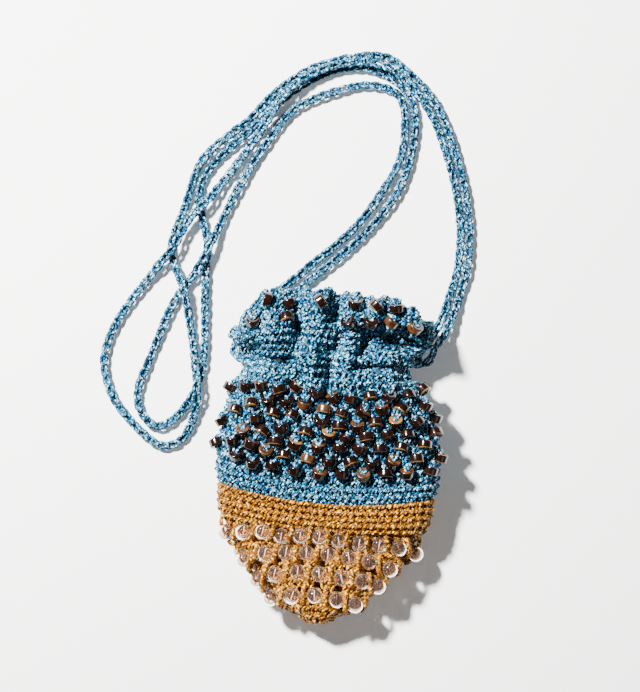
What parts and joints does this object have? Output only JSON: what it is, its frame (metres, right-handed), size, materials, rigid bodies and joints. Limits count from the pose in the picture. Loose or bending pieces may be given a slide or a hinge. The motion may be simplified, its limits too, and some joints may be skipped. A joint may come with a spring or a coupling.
{
  "type": "crochet drawstring pouch",
  "caption": "Small crocheted pouch with a rounded tip, rows of ring and round beads, a gathered ruffled mouth and two looped drawstring cords.",
  "frame": {"origin": "centre of the pouch's underside, on the surface that it lies on", "axes": "+Y from the rounded tip to the gathered mouth, +Z out of the front, +X to the right seen from the front"},
  "size_m": [0.207, 0.3266, 0.0446],
  "materials": {
    "blue_yarn": "marled yarn with a light sheen",
    "gold_yarn": "yarn with a light sheen",
    "blue_cord": "chain-stitched marled yarn",
    "brown_bead": "glossy lacquer",
    "clear_glass": "polished, faint smoky tint"
  },
  "bodies": {
    "root": {"blue_body": "blue_yarn", "gold_base": "gold_yarn", "brown_beads_front_row_a": "brown_bead", "brown_beads_front_row_b": "brown_bead", "brown_beads_front_row_c": "brown_bead", "brown_beads_front_row_d": "brown_bead", "brown_beads_front_row_e": "brown_bead", "brown_beads_front_row_f": "brown_bead", "brown_beads_front_row_g": "brown_bead", "brown_beads_back_row_a": "brown_bead", "brown_beads_back_row_b": "brown_bead", "brown_beads_back_row_c": "brown_bead", "brown_beads_back_row_d": "brown_bead", "brown_beads_back_row_e": "brown_bead", "brown_beads_back_row_f": "brown_bead", "brown_beads_back_row_g": "brown_bead", "brown_beads_frill_upper": "brown_bead", "brown_beads_frill_lower": "brown_bead", "glass_bead_front_1_01": "clear_glass", "glass_bead_front_1_02": "clear_glass", "glass_bead_front_1_03": "clear_glass", "glass_bead_front_1_04": "clear_glass", "glass_bead_front_1_05": "clear_glass", "glass_bead_front_1_06": "clear_glass", "glass_bead_front_1_07": "clear_glass", "glass_bead_front_1_08": "clear_glass", "glass_bead_front_1_09": "clear_glass", "glass_bead_front_1_10": "clear_glass", "glass_bead_front_1_11": "clear_glass", "glass_bead_front_2_01": "clear_glass", "glass_bead_front_2_02": "clear_glass", "glass_bead_front_2_03": "clear_glass", "glass_bead_front_2_04": "clear_glass", "glass_bead_front_2_05": "clear_glass", "glass_bead_front_2_06": "clear_glass", "glass_bead_front_2_07": "clear_glass", "glass_bead_front_2_08": "clear_glass", "glass_bead_front_3_01": "clear_glass", "glass_bead_front_3_02": "clear_glass", "glass_bead_front_3_03": "clear_glass", "glass_bead_front_3_04": "clear_glass", "glass_bead_front_3_05": "clear_glass", "glass_bead_front_3_06": "clear_glass", "glass_bead_front_3_07": "clear_glass", "glass_bead_front_4_01": "clear_glass", "glass_bead_front_4_02": "clear_glass", "glass_bead_front_4_03": "clear_glass", "glass_bead_front_4_04": "clear_glass", "glass_bead_front_4_05": "clear_glass", "glass_beads_back_row_1": "clear_glass", "glass_beads_back_row_2": "clear_glass", "glass_beads_back_row_3": "clear_glass", "glass_beads_back_row_4": "clear_glass", "drawstring_left_neck": "blue_cord", "drawstring_right_neck": "blue_cord", "drawstring_left_cord": "blue_cord", "drawstring_right_cord": "blue_cord"}
  },
  "joints": []
}
